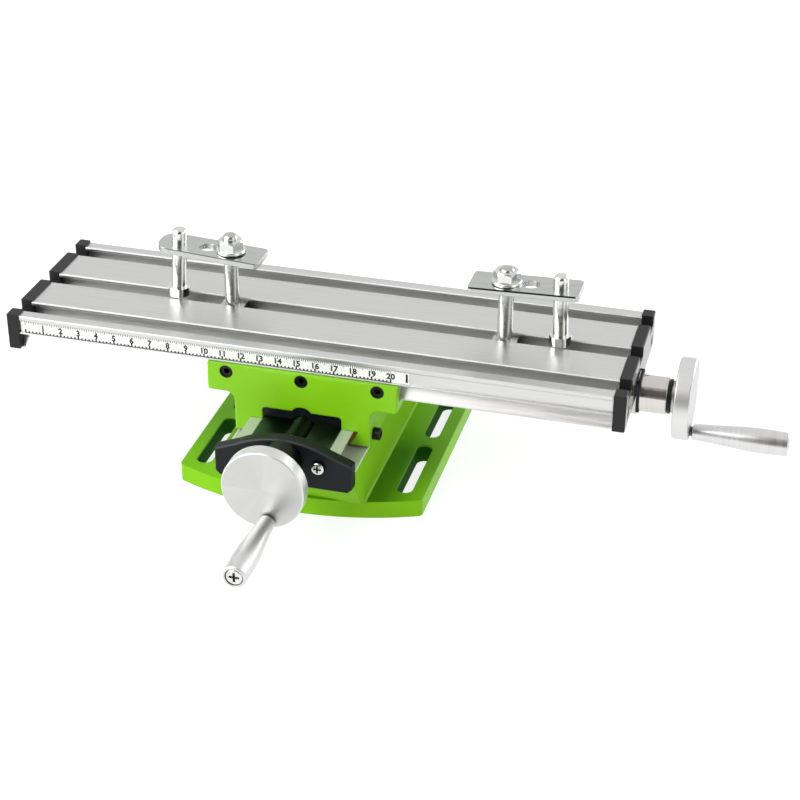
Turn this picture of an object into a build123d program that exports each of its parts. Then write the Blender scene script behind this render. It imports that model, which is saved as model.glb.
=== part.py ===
from build123d import *
import os
from math import cos, radians, sin, sqrt, tan

# A compound cross slide table: base, saddle on a Y dovetail, T-slot table on an X dovetail, two cranks
# and two strap clamps. Millimetres. The origin is the middle of the foot, +Z is up, +X points to the
# X handwheel and -Y to the Y handwheel.

# Fits
slide_gap = 0.05
running_gap = 0.05
free_gap = 0.3
dovetail_angle = 30.0

# Base casting
base_width = 132.5
base_depth = 143.0
base_arc_radius = 160.0
flange_thickness = 10.0
flange_corner_radius = 3.0
slot_width = 8.5
slot_length = 49.0
slot_spacing_x = 110.0
slot_spacing_y = 58.0
platform_top = 31.5
platform_top_width = 71.0
platform_foot_width = 75.0
platform_front = 77.0
platform_back = 70.0
nose_foot_front = 69.0
y_way_width = 56.0
y_way_height = 9.5
channel_top_width = 42.8
channel_floor_width = 28.0
channel_floor = 27.0
pocket_length = 118.0
pocket_width = 58.0
pocket_depth = 18.0
pocket_rib = 4.0
pocket_corner = 4.0

# Saddle casting
saddle_width = 102.0
saddle_overhang = 3.5
saddle_height = 19.4
wing_thickness = 6.2
leg_width = 73.0
leg_reach = 8.0
wing_fillet = 5.0
wing_edge_radius = 2.0
opening_width = 42.8
opening_rise = 7.0
hump_radius = 6.4
hump_top = 9.7
nut_bridge_depth = 28.0
nut_bridge_drop = 5.0
trough_width = 16.0
trough_rib_width = 24.0
trough_rib_depth = 8.2

# Gibs and their screws
gib_thickness = 2.0
x_gib_screw_diameter = 6.0
x_gib_screw_recess = 7.0
x_gib_screw_recess_depth = 1.0
x_gib_screw_spacing = 40.4
x_gib_screw_drop = 3.6
y_gib_screw_diameter = 4.0
y_gib_screw_head_diameter = 6.6
y_gib_screw_head_length = 4.0
y_gib_screw_spacing = 44.0
y_gib_screw_rise = 4.4
hex_socket_depth = 2.5

# Table extrusion
table_length = 317.0
table_thickness = 19.5
table_rest_x = 1.4
outer_rail_width = 6.35
t_slot_width = 10.8
t_slot_pitch = 35.75
t_slot_inner_width = 18.0
t_slot_depth = 10.0
t_slot_lip = 2.0
table_web = 3.0
ledge_height = 10.2
rail_height = 2.6
groove_depth = 0.8
lip_height = 0.7
lip_proud = 0.5
way_setback = 2.0
x_way_rail_width = 12.5
underside_rib_offset = 15.5
underside_rib_width = 3.0

# Rule on the front face
rule_length = 212.0
rule_thickness = 0.4
rule_margin = 0.1
rule_start = 1.0

# End caps
cap_thickness = 6.4
cap_proud = 1.0
cap_height = 20.0
cap_notch_depth = 5.4
cap_edge_radius = 0.8
cap_screw_diameter = 3.5
cap_screw_head_diameter = 6.5
cap_screw_head_height = 1.8
cap_screw_inset = 8.0
cap_screw_drop = 12.5
cap_screw_grip = 6.5

# Lead screws and their bearings
screw_diameter = 10.0
journal_diameter = 8.0
tail_journal_diameter = 6.0
x_screw_drop = 2.65
y_screw_drop = 1.5
bearing_block_length = 13.2
bearing_block_radius = 11.4
flange_plate_thickness = 1.5
flange_plate_width = 15.4
flange_plate_height = 18.4
flange_plate_lift = 1.0
x_sleeve_diameter = 19.4
x_sleeve_length = 13.8
sleeve_spigot_diameter = 12.0
sleeve_spigot_length = 8.0
ring_diameter = 18.0
ring_thickness = 1.3
block_screw_diameter = 3.0
block_screw_head_diameter = 5.5
block_screw_head_height = 2.5
block_screw_offset = 8.6
block_screw_grip = 2.5
block_screw_inset = 3.6

# Y bearing bracket
bracket_width = 72.6
bracket_thickness = 6.5
bracket_rise = 10.5
bracket_drop = 15.5
bracket_end_height = 0.0
bracket_shoulder_x = 24.0
bracket_shoulder_rise = 4.8
bracket_chamfer = 2.4
y_sleeve_diameter = 21.0
y_sleeve_length = 19.2
bracket_screw_diameter = 4.0
bracket_screw_head_diameter = 7.0
bracket_screw_head_height = 2.4
bracket_screw_offset = 19.0
bracket_screw_drop = 2.2
bracket_screw_grip = 8.0

# Nut blocks
x_nut_length = 24.0
x_nut_flange_width = 25.0
x_nut_flange_thickness = 4.0
x_nut_screw_offset = 10.25
x_nut_screw_grip = 8.0
y_nut_length = 26.0
y_nut_width = 22.0
y_nut_drop = 6.5
y_nut_screw_x = 8.6
y_nut_screw_y = 10.4
y_nut_screw_grip = 5.0
nut_screw_diameter = 3.0
nut_screw_head_diameter = 5.0
nut_screw_head_height = 2.0

# Dust guard
guard_thickness = 4.0
guard_setback = 1.0
guard_band = 5.4
guard_screw_clearance = 0.9

# Handwheels and crank handles
wheel_diameter = 42.6
wheel_thickness = 8.4
wheel_edge = 0.8
hub_diameter = 16.0
hub_flare = 2.0
hub_length = 2.8
wheel_bore_depth = 6.2
grub_screw_diameter = 4.0
grub_screw_length = 8.0
handle_circle_radius = 17.0
x_handle_angle = 13.6
y_handle_angle = 9.0
handle_length = 49.0
handle_neck = 1.4
handle_root_radius = 4.2
handle_waist_radius = 6.4
handle_waist_share = 0.72
handle_end_radius = 6.0
handle_bolt_diameter = 5.0
handle_bolt_head_diameter = 8.6
handle_bolt_head_height = 3.0
handle_bolt_recess = 3.2
handle_bolt_grip = 5.0

# Strap clamps
stud_diameter = 8.0
t_head_width = 13.0
t_head_height = 5.3
stud_height = 39.6
strap_width = 20.0
strap_length = 57.2
strap_thickness = 3.0
strap_jack_margin = 10.5
strap_hole_diameter = 9.0
strap_hole_share = 0.45
left_stud_x = -55.6
left_jack_arm = 28.9
left_strap_rise = 26.3
left_strap_tilt = 3.4
right_stud_x = 93.4
right_jack_arm = 28.2
right_strap_rise = 28.2
right_strap_tilt = 1.9
jack_head_width = 11.0
jack_head_height = 5.0
jack_shank_length = 33.9
nut_width = 12.4
nut_height = 6.8
nut_flange_diameter = 15.8
nut_flange_height = 1.6

# Widths, heights and places that follow
table_width = 2 * (t_slot_pitch + t_slot_width / 2 + outer_rail_width)
x_way_width = table_width - 2 * way_setback
saddle_depth = table_width + 2 * saddle_overhang
cap_screw_offset = table_width / 2 - cap_screw_inset
rule_height = ledge_height - rail_height - lip_height - 2 * rule_margin
y_way_top = platform_top + y_way_height
saddle_floor = y_way_top + slide_gap
deck_top = saddle_floor + saddle_height
wing_bottom = deck_top - wing_thickness
leg_bottom = saddle_floor - leg_reach
table_bottom = deck_top + slide_gap
table_top = table_bottom + table_thickness
ledge_bottom = table_top - ledge_height
wall_top = ledge_bottom - free_gap
x_axis_z = deck_top - x_screw_drop
y_axis_z = y_way_top - y_screw_drop
bridge_bottom = saddle_floor + nut_bridge_drop
table_end = table_length / 2
cap_end = table_end + cap_thickness
bracket_front = platform_front + bracket_thickness
flank_run = tan(radians(dovetail_angle))
gib_run = gib_thickness / cos(radians(dovetail_angle))
trough_bottom = x_axis_z - screw_diameter / 2 - 0.5
slot_floor = table_top - t_slot_depth
web_bottom = slot_floor - table_web


def prism_x(points, x_from, x_to):
    outline = Polyline(*[(x_from, y, z) for y, z in points], close=True)
    return extrude(make_face(outline), amount=x_to - x_from, dir=(1, 0, 0))


def prism_y(points, y_from, y_to):
    outline = Polyline(*[(x, y_from, z) for x, z in points], close=True)
    return extrude(make_face(outline), amount=y_to - y_from, dir=(0, 1, 0))


def block(x_from, x_to, y_from, y_to, z_from, z_to):
    size = (x_to - x_from, y_to - y_from, z_to - z_from)
    middle = ((x_from + x_to) / 2, (y_from + y_to) / 2, (z_from + z_to) / 2)
    return Pos(*middle) * Box(*size)


def rod_x(radius, x_from, x_to, y=0.0, z=0.0):
    place = Plane(origin=(x_from, y, z), z_dir=(1, 0, 0))
    return place * Cylinder(radius, x_to - x_from, align=(Align.CENTER, Align.CENTER, Align.MIN))


def rod_y(radius, y_from, y_to, x=0.0, z=0.0):
    place = Plane(origin=(x, y_from, z), z_dir=(0, 1, 0))
    return place * Cylinder(radius, y_to - y_from, align=(Align.CENTER, Align.CENTER, Align.MIN))


def rod_z(radius, z_from, z_to, x=0.0, y=0.0):
    return Pos(x, y, z_from) * Cylinder(radius, z_to - z_from, align=(Align.CENTER, Align.CENTER, Align.MIN))


def hex_bar(width, height):
    return extrude(RegularPolygon(width / 2, 6, major_radius=False), amount=height)


# Base casting: flanged foot with arced ends, drafted platform with a nose for the bracket, dovetail way
def foot_outline():
    arc_shift = base_arc_radius - base_depth / 2
    outline = Rectangle(base_width, base_depth)
    outline &= Pos(0, arc_shift) * Circle(base_arc_radius)
    outline &= Pos(0, -arc_shift) * Circle(base_arc_radius)
    return fillet(outline.vertices(), flange_corner_radius)


def platform_width_at(height):
    share = (height - flange_thickness) / (platform_top - flange_thickness)
    return platform_foot_width + (platform_top_width - platform_foot_width) * share


def platform_slice(height, front):
    middle_y = (platform_back - front) / 2
    return Pos(0, middle_y, height) * Rectangle(platform_width_at(height), platform_back + front)


def make_base():
    foot = extrude(foot_outline(), amount=flange_thickness)
    slots = GridLocations(slot_spacing_x, slot_spacing_y, 2, 2) * SlotOverall(slot_length, slot_width, rotation=90)
    foot -= extrude(Sketch() + slots, amount=flange_thickness)
    seat_bottom = y_axis_z - bracket_drop
    nose = loft([platform_slice(flange_thickness - 0.5, nose_foot_front), platform_slice(seat_bottom, platform_front)])
    upper = loft([platform_slice(seat_bottom, platform_front), platform_slice(platform_top, platform_front)])
    body = foot + nose + upper
    half = y_way_width / 2
    root = half - y_way_height * flank_run
    way = [(-root, platform_top - 0.5), (root, platform_top - 0.5), (root, platform_top), (half, y_way_top),
           (-half, y_way_top), (-root, platform_top)]
    body += prism_y(way, -platform_front, platform_back)
    top_half = channel_top_width / 2
    floor_half = channel_floor_width / 2
    channel = [(-floor_half, channel_floor), (floor_half, channel_floor), (top_half, y_way_top),
               (top_half, y_way_top + 1), (-top_half, y_way_top + 1), (-top_half, y_way_top)]
    body -= prism_y(channel, -platform_front - 1, platform_back + 1)
    cell_width = (pocket_width - pocket_rib) / 2
    cells = GridLocations(cell_width + pocket_rib, 0, 2, 1) * RectangleRounded(cell_width, pocket_length, pocket_corner)
    body -= extrude(Sketch() + cells, amount=pocket_depth)
    for side in (-1, 1):
        hole = rod_y(bracket_screw_diameter / 2, -platform_front, -platform_front + bracket_screw_grip,
                     side * bracket_screw_offset, y_axis_z - bracket_screw_drop)
        body -= hole
    return body


# Arched bracket that carries the Y screw, bolted to the end of the platform
def make_bracket():
    half = bracket_width / 2
    top_end = y_axis_z + bracket_end_height
    shoulder = y_axis_z + bracket_shoulder_rise
    bottom = y_axis_z - bracket_drop
    y = -platform_front
    crown = ThreePointArc((bracket_shoulder_x, y, shoulder), (0, y, y_axis_z + bracket_rise),
                          (-bracket_shoulder_x, y, shoulder))
    rest = Polyline((-bracket_shoulder_x, y, shoulder), (-half, y, top_end), (-half, y, bottom + bracket_chamfer),
                    (-half + bracket_chamfer, y, bottom), (half - bracket_chamfer, y, bottom),
                    (half, y, bottom + bracket_chamfer), (half, y, top_end), (bracket_shoulder_x, y, shoulder))
    plate = extrude(make_face(crown + rest), amount=bracket_thickness, dir=(0, -1, 0))
    rim = plate.faces().sort_by(Axis.Y)[0].edges()
    plate = fillet(rim, 1.0)
    plate -= rod_y(journal_diameter / 2 + running_gap, -bracket_front - 1, y + 1, 0, y_axis_z)
    plate -= rod_y(sleeve_spigot_diameter / 2, -bracket_front - 1, -bracket_front + bracket_thickness / 2, 0, y_axis_z)
    for side in (-1, 1):
        plate -= rod_y(bracket_screw_diameter / 2, -bracket_front - 1, y + 1, side * bracket_screw_offset,
                       y_axis_z - bracket_screw_drop)
    return plate


def cross_recess(radius, depth):
    arm = radius * 1.2
    cross = Rectangle(arm, arm / 4) + Rectangle(arm / 4, arm)
    return extrude(cross, amount=-depth)


def make_bracket_screw(x):
    z = y_axis_z - bracket_screw_drop
    seat = -bracket_front
    head = Plane(origin=(0, 0, 0)) * Cylinder(bracket_screw_head_diameter / 2, bracket_screw_head_height,
                                              align=(Align.CENTER, Align.CENTER, Align.MIN))
    head = fillet(head.faces().sort_by(Axis.Z)[-1].edges(), bracket_screw_head_height * 0.5)
    head -= Pos(0, 0, bracket_screw_head_height) * cross_recess(bracket_screw_head_diameter / 2, 1.4)
    screw = Plane(origin=(x, seat, z), z_dir=(0, -1, 0)) * head
    return screw + rod_y(bracket_screw_diameter / 2, seat, -platform_front + bracket_screw_grip - 0.5, x, z)


# Saddle casting: deck with two flanked walls for the table, two legs around the base's way
def wall_inner_y(z, extra):
    return x_way_width / 2 - (z - table_bottom) * flank_run + extra


def make_saddle():
    half_x = saddle_width / 2
    half_y = saddle_depth / 2
    front_extra = gib_run + 2 * slide_gap
    section = [(-half_y, wing_bottom), (-half_y, wall_top), (-wall_inner_y(wall_top, front_extra), wall_top),
               (-wall_inner_y(deck_top, front_extra), deck_top), (wall_inner_y(deck_top, slide_gap), deck_top),
               (wall_inner_y(wall_top, slide_gap), wall_top), (half_y, wall_top), (half_y, wing_bottom)]
    body = prism_x(section, -half_x, half_x)
    half_leg = leg_width / 2
    body += block(-half_leg, half_leg, -half_y, half_y, leg_bottom, wing_bottom + 1)
    near_wing = [e for e in body.edges().filter_by(Axis.Y)
                 if abs(abs(e.center().X) - half_leg) < 0.1 and abs(e.center().Z - wing_bottom) < 0.1]
    body = fillet(near_wing, wing_fillet)
    tips = [e for e in body.edges().filter_by(Axis.Y)
            if abs(abs(e.center().X) - half_x) < 0.1 and abs(e.center().Z - wing_bottom) < 0.1]
    body = fillet(tips, wing_edge_radius)
    corners = [e for e in body.edges().filter_by(Axis.Z)
               if abs(abs(e.center().X) - half_x) < 0.1 and abs(abs(e.center().Y) - half_y) < 0.1]
    body = fillet(corners, wing_edge_radius / 2)
    half_rib = trough_rib_width / 2
    body += block(-half_x, half_x, -half_rib, half_rib, wing_bottom - trough_rib_depth, wing_bottom + 1)
    # Female dovetail with room for the gib on the +X side
    half_way = y_way_width / 2
    way_root = half_way - (saddle_floor - leg_bottom) * flank_run
    left_root = -(way_root + slide_gap)
    right_root = way_root + gib_run + 2 * slide_gap
    left_top = -(half_way + slide_gap)
    right_top = half_way + gib_run + 2 * slide_gap
    below = leg_bottom - 1
    body -= prism_y([(left_root, below), (right_root, below), (right_root, leg_bottom), (right_top, saddle_floor),
                     (left_top, saddle_floor), (left_root, leg_bottom)], -half_y - 1, half_y + 1)
    # Opening over the Y screw, with a hump, and the bridge that carries the Y nut
    opening_top = saddle_floor + opening_rise
    half_open = opening_width / 2
    hump_middle = saddle_floor + hump_top - hump_radius
    bridge_half = nut_bridge_depth / 2
    body -= block(-half_open, half_open, -bridge_half, bridge_half, saddle_floor - 1, bridge_bottom)
    for y_from, y_to in ((-half_y - 1, -bridge_half), (bridge_half, half_y + 1)):
        space = block(-half_open, half_open, y_from, y_to, saddle_floor - 1, opening_top)
        tops = [e for e in space.edges().filter_by(Axis.Y) if e.center().Z > opening_top - 0.1]
        space = fillet(tops, 2.0)
        space += rod_y(hump_radius, y_from, y_to, 0, hump_middle)
        body -= space
    # Trough for the X screw and seat of the X nut
    half_trough = trough_width / 2
    body -= block(-half_x - 1, half_x + 1, -half_trough, half_trough, trough_bottom, deck_top + 1)
    for x in (-x_gib_screw_spacing, 0, x_gib_screw_spacing):
        z = wall_top - x_gib_screw_drop
        body -= rod_y(x_gib_screw_diameter / 2, -half_y - 1, -x_way_width / 2 + 4, x, z)
        body -= rod_y(x_gib_screw_recess / 2, -half_y - 1, -half_y + x_gib_screw_recess_depth, x, z)
    for y in (-y_gib_screw_spacing, 0, y_gib_screw_spacing):
        body -= rod_x(y_gib_screw_diameter / 2, half_leg - 15, half_leg + 1, y, leg_bottom + y_gib_screw_rise)
    for x, y in y_nut_screw_places():
        body -= rod_z(nut_screw_diameter / 2, bridge_bottom, bridge_bottom + y_nut_screw_grip, x, y)
    for x, y in x_nut_screw_places():
        body -= rod_z(nut_screw_diameter / 2, deck_top - x_nut_screw_grip, deck_top, x, y)
    return body


def make_x_gib():
    half = saddle_width / 2 - free_gap
    inner_top = wall_inner_y(wall_top, slide_gap)
    inner_bottom = wall_inner_y(table_bottom, slide_gap)
    points = [(-inner_bottom, table_bottom), (-inner_bottom - gib_run, table_bottom),
              (-inner_top - gib_run, wall_top), (-inner_top, wall_top)]
    return prism_x(points, -half, half)


def make_y_gib():
    half = saddle_depth / 2 - free_gap
    top = y_way_width / 2 + slide_gap
    root = top - (y_way_top - leg_bottom) * flank_run
    points = [(root, leg_bottom), (root + gib_run, leg_bottom), (top + gib_run, y_way_top), (top, y_way_top)]
    return prism_y(points, -half, half)


def set_screw(diameter, length):
    body = Cylinder(diameter / 2, length, align=(Align.CENTER, Align.CENTER, Align.MAX))
    return body - Pos(0, 0, -hex_socket_depth) * hex_bar(diameter * 0.5, hex_socket_depth)


def make_x_gib_screw(x):
    z = wall_top - x_gib_screw_drop
    outer = saddle_depth / 2 - x_gib_screw_recess_depth
    inner = wall_inner_y(z - x_gib_screw_diameter / 2, gib_run + 2 * slide_gap)
    return Plane(origin=(x, -outer, z), z_dir=(0, -1, 0)) * set_screw(x_gib_screw_diameter, outer - inner)


def make_y_gib_screw(y):
    z = leg_bottom + y_gib_screw_rise
    face = leg_width / 2
    gib_face = y_way_width / 2 - (y_way_top - z - y_gib_screw_diameter / 2) * flank_run + gib_run + 2 * slide_gap
    head = Cylinder(y_gib_screw_head_diameter / 2, y_gib_screw_head_length,
                    align=(Align.CENTER, Align.CENTER, Align.MIN))
    head = chamfer(head.faces().sort_by(Axis.Z)[-1].edges(), 0.4)
    head -= Pos(0, 0, y_gib_screw_head_length - hex_socket_depth) * hex_bar(3.2, hex_socket_depth)
    screw = Plane(origin=(face, y, z), z_dir=(1, 0, 0)) * head
    return screw + rod_x(y_gib_screw_diameter / 2, gib_face, face, y, z)


# Moulded guard that closes the gap between the opening and the Y screw
def make_dust_guard():
    front = -saddle_depth / 2 + guard_setback
    back = front + guard_thickness
    top = saddle_floor + opening_rise - running_gap
    half = opening_width / 2 - running_gap
    body = block(-half, half, front, back, top - guard_band, top)
    tops = [e for e in body.edges().filter_by(Axis.Y) if e.center().Z > top - 0.1]
    body = fillet(tops, 2.0)
    hump_middle = saddle_floor + hump_top - hump_radius
    body += rod_y(hump_radius - running_gap, front, back, 0, hump_middle)
    body -= block(-half, half, front - 1, back + 1, leg_bottom, top - guard_band)
    return body - rod_y(screw_diameter / 2 + guard_screw_clearance, front - 1, back + 1, 0, y_axis_z)


# Nut blocks
def y_nut_screw_places():
    return [(sx * y_nut_screw_x, sy * y_nut_screw_y) for sx in (-1, 1) for sy in (-1, 1)]


def x_nut_screw_places():
    return [(sx * (x_nut_length / 2 - 5), sy * x_nut_screw_offset) for sx in (-1, 1) for sy in (-1, 1)]


def make_y_nut():
    half_x = y_nut_width / 2
    half_y = y_nut_length / 2
    body = block(-half_x, half_x, -half_y, half_y, y_axis_z - y_nut_drop, bridge_bottom)
    body = chamfer(body.edges().filter_by(Axis.Z), 1.0)
    body -= rod_y(screw_diameter / 2 + running_gap, -half_y - 1, half_y + 1, 0, y_axis_z)
    for x, y in y_nut_screw_places():
        body -= rod_z(nut_screw_diameter / 2, y_axis_z - y_nut_drop - 1, bridge_bottom + 1, x, y)
    return body


def make_x_nut():
    half_x = x_nut_length / 2
    half_y = trough_width / 2 - running_gap
    half_flange = x_nut_flange_width / 2
    body = block(-half_x, half_x, -half_y, half_y, trough_bottom, deck_top)
    body += block(-half_x, half_x, -half_flange, half_flange, deck_top, deck_top + x_nut_flange_thickness)
    body -= rod_x(screw_diameter / 2 + running_gap, -half_x - 1, half_x + 1, 0, x_axis_z)
    for x, y in x_nut_screw_places():
        body -= rod_z(nut_screw_diameter / 2, deck_top - 1, deck_top + x_nut_flange_thickness + 1, x, y)
    return body


def cap_screw(diameter, head_diameter, head_height, length):
    # Head up, seat at z = 0, shank down
    head = Cylinder(head_diameter / 2, head_height, align=(Align.CENTER, Align.CENTER, Align.MIN))
    head = chamfer(head.faces().sort_by(Axis.Z)[-1].edges(), 0.3)
    head -= Pos(0, 0, head_height) * cross_recess(head_diameter / 2, head_height * 0.5)
    return head + Cylinder(diameter / 2, length, align=(Align.CENTER, Align.CENTER, Align.MAX))


def make_y_nut_screw(x, y):
    length = bridge_bottom + y_nut_screw_grip - 0.5 - (y_axis_z - y_nut_drop)
    screw = cap_screw(nut_screw_diameter, nut_screw_head_diameter, nut_screw_head_height, length)
    return Plane(origin=(x, y, y_axis_z - y_nut_drop), z_dir=(0, 0, -1)) * screw


def make_x_nut_screw(x, y):
    length = x_nut_flange_thickness + x_nut_screw_grip - 0.5
    screw = cap_screw(nut_screw_diameter, nut_screw_head_diameter, nut_screw_head_height, length)
    return Pos(x, y, deck_top + x_nut_flange_thickness) * screw


# Table extrusion, drawn as its section
def slot_middles():
    return [-t_slot_pitch, 0.0, t_slot_pitch]


def make_table():
    half = table_width / 2
    way = x_way_width / 2
    neck = wall_inner_y(ledge_bottom, 0)
    way_inner = way - x_way_rail_width
    lip = half + lip_proud
    lip_top = ledge_bottom + lip_height
    groove = half - groove_depth
    rail_bottom = table_top - rail_height
    right = [(way_inner, web_bottom), (way_inner, table_bottom), (way, table_bottom), (neck, ledge_bottom),
             (lip, ledge_bottom), (lip, lip_top), (groove, lip_top), (groove, rail_bottom), (half, rail_bottom),
             (half, table_top)]
    section = right + [(-y, z) for y, z in reversed(right)]
    body = prism_x(section, -table_end, table_end)
    for side in (-1, 1):
        middle = side * underside_rib_offset
        half_rib = underside_rib_width / 2
        body += block(-table_end, table_end, middle - half_rib, middle + half_rib, table_bottom, web_bottom + 0.5)
    for middle in slot_middles():
        neck_half = t_slot_width / 2
        inner_half = t_slot_inner_width / 2
        under = table_top - t_slot_lip
        points = [(middle - inner_half, slot_floor), (middle + inner_half, slot_floor), (middle + inner_half, under),
                  (middle + neck_half, under), (middle + neck_half, table_top + 1), (middle - neck_half, table_top + 1),
                  (middle - neck_half, under), (middle - inner_half, under)]
        body -= prism_x(points, -table_end - 1, table_end + 1)
    for side in (-1, 1):
        for y in (-cap_screw_offset, cap_screw_offset):
            inner = side * (table_end - cap_screw_grip)
            body -= rod_x(cap_screw_diameter / 2, min(inner, side * table_end), max(inner, side * table_end),
                          y, table_top - cap_screw_drop)
        for y in (-block_screw_offset, block_screw_offset):
            body -= rod_z(block_screw_diameter / 2, web_bottom, web_bottom + block_screw_grip,
                          side * (table_end - block_screw_inset), y)
    return body


def make_rule():
    x_from = -table_end + rule_start
    top = table_top - rail_height - rule_margin
    y = groove_depth - table_width / 2
    return block(x_from, x_from + rule_length, y - rule_thickness, y, top - rule_height, top)


def make_end_cap(side):
    half = table_width / 2 + cap_proud
    top = table_top + cap_proud
    bottom = top - cap_height
    x_from = table_end if side > 0 else -cap_end
    body = block(x_from, x_from + cap_thickness, -half, half, bottom, top)
    for middle in slot_middles():
        neck_half = t_slot_width / 2
        body -= block(x_from - 1, x_from + cap_thickness + 1, middle - neck_half, middle + neck_half,
                      top - cap_notch_depth, top + 1)
    outer = body.faces().sort_by(Axis.X)[-1 if side > 0 else 0]
    body = fillet(outer.edges(), cap_edge_radius)
    body -= rod_x(bearing_block_radius + free_gap, x_from - 1, x_from + cap_thickness + 1, 0, x_axis_z)
    x_face = side * cap_end
    for y in (-cap_screw_offset, cap_screw_offset):
        z = table_top - cap_screw_drop
        ends = sorted((side * (table_end - 1), x_face + side))
        body -= rod_x(cap_screw_diameter / 2, ends[0], ends[1], y, z)
        ends = sorted((x_face - side * cap_screw_head_height, x_face + side))
        body -= rod_x(cap_screw_head_diameter / 2, ends[0], ends[1], y, z)
    return body


def make_cap_screw(side, y):
    screw = cap_screw(cap_screw_diameter, cap_screw_head_diameter - 2 * running_gap, cap_screw_head_height,
                      cap_thickness - cap_screw_head_height + cap_screw_grip - 0.5)
    seat = side * (cap_end - cap_screw_head_height)
    return Plane(origin=(seat, y, table_top - cap_screw_drop), z_dir=(side, 0, 0)) * screw


# Bearing blocks that hang under the table's ends
def make_bearing_block(side):
    inner = side * (cap_end - bearing_block_length)
    x_from, x_to = sorted((inner, side * cap_end))
    body = rod_x(bearing_block_radius, x_from, x_to, 0, x_axis_z)
    t_from, t_to = sorted((inner, side * table_end))
    body += block(t_from, t_to, -bearing_block_radius, bearing_block_radius, x_axis_z, web_bottom)
    body -= block(t_from, t_to, -bearing_block_radius, bearing_block_radius, web_bottom, web_bottom + 10)
    if side > 0:
        body -= rod_x(journal_diameter / 2 + running_gap, x_from - 1, x_to + 1, 0, x_axis_z)
        body -= rod_x(sleeve_spigot_diameter / 2, x_to - sleeve_spigot_length + flange_plate_thickness, x_to + 1,
                      0, x_axis_z)
    else:
        body -= rod_x(tail_journal_diameter / 2 + running_gap, x_from - 1, x_to + 1, 0, x_axis_z)
    for y in (-block_screw_offset, block_screw_offset):
        body -= rod_z(block_screw_diameter / 2, x_axis_z - bearing_block_radius - 1, web_bottom + 1,
                      side * (table_end - block_screw_inset), y)
        body -= rod_z(block_screw_head_diameter / 2, x_axis_z - bearing_block_radius - 1, x_axis_z - 2,
                      side * (table_end - block_screw_inset), y)
    return body


def make_block_screw(side, y):
    seat = x_axis_z - 2
    screw = cap_screw(block_screw_diameter, block_screw_head_diameter - 2 * running_gap, block_screw_head_height,
                      web_bottom + block_screw_grip - 0.3 - seat)
    return Plane(origin=(side * (table_end - block_screw_inset), y, seat), z_dir=(0, 0, -1)) * screw


def make_flange_plate():
    half = flange_plate_width / 2
    middle = x_axis_z + flange_plate_lift
    body = block(cap_end, cap_end + flange_plate_thickness, -half, half,
                 middle - flange_plate_height / 2, middle + flange_plate_height / 2)
    body = fillet(body.edges().filter_by(Axis.X), 1.0)
    return body - rod_x(sleeve_spigot_diameter / 2, cap_end - 1, cap_end + 5, 0, x_axis_z)


def make_sleeve(outer_diameter, length, spigot_length):
    # Along +Z from the seat at z = 0, spigot below
    body = Cylinder(outer_diameter / 2, length, align=(Align.CENTER, Align.CENTER, Align.MIN))
    body = chamfer(body.faces().sort_by(Axis.Z)[-1].edges(), 0.4)
    body += Cylinder(sleeve_spigot_diameter / 2, spigot_length, align=(Align.CENTER, Align.CENTER, Align.MAX))
    return body - Cylinder(journal_diameter / 2 + running_gap, 3 * (length + spigot_length))


def make_ring():
    body = Cylinder(ring_diameter / 2, ring_thickness, align=(Align.CENTER, Align.CENTER, Align.MIN))
    return body - Cylinder(journal_diameter / 2, 3 * ring_thickness)


# Handwheel, hub down at z = 0, plain face up
def handle_spot(angle):
    return (handle_circle_radius * sin(radians(angle)), -handle_circle_radius * cos(radians(angle)))


def make_wheel(angle, grub_side):
    body = Cone(hub_diameter / 2, hub_diameter / 2 + hub_flare, hub_length + 1,
                align=(Align.CENTER, Align.CENTER, Align.MIN))
    disc = Cylinder(wheel_diameter / 2, wheel_thickness, align=(Align.CENTER, Align.CENTER, Align.MIN))
    disc = fillet(disc.edges().filter_by(GeomType.CIRCLE), wheel_edge)
    body += Pos(0, 0, hub_length) * disc
    body -= Cylinder(journal_diameter / 2, hub_length + wheel_bore_depth, align=(Align.CENTER, Align.CENTER, Align.MIN))
    x, y = handle_spot(angle)
    top = hub_length + wheel_thickness
    body -= rod_z(handle_bolt_diameter / 2, top - handle_bolt_grip, top + 1, x, y)
    middle = hub_length + wheel_thickness / 2
    grub = Plane(origin=(0, 0, middle), z_dir=(grub_side, 0, 0))
    hole = Cylinder(grub_screw_diameter / 2, wheel_diameter, align=(Align.CENTER, Align.CENTER, Align.MIN))
    return body - grub * hole


def make_grub_screw(grub_side):
    reach = journal_diameter / 2 + grub_screw_length
    place = Plane(origin=(grub_side * reach, 0, hub_length + wheel_thickness / 2), z_dir=(grub_side, 0, 0))
    return place * set_screw(grub_screw_diameter, grub_screw_length)


def make_handle(angle):
    x, y = handle_spot(angle)
    top = hub_length + wheel_thickness + handle_neck
    waist = handle_length * handle_waist_share
    side = Spline((handle_root_radius, 0), (handle_waist_radius, waist), (handle_end_radius, handle_length),
                  tangents=[(0.02, 1), (-0.03, 1)])
    profile = make_face(side + Polyline((handle_end_radius, handle_length), (0, handle_length), (0, 0),
                                        (handle_root_radius, 0)))
    body = revolve(Plane.XZ * profile, Axis.Z)
    body = fillet(body.faces().sort_by(Axis.Z)[-1].edges(), 0.9)
    body = fillet(body.faces().sort_by(Axis.Z)[0].edges(), 0.6)
    body -= Cylinder(handle_bolt_diameter / 2 + running_gap, 3 * handle_length)
    body -= Pos(0, 0, handle_length - handle_bolt_recess) * Cylinder(
        handle_bolt_head_diameter / 2 + free_gap, handle_length, align=(Align.CENTER, Align.CENTER, Align.MIN))
    return Pos(x, y, top) * body


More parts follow.
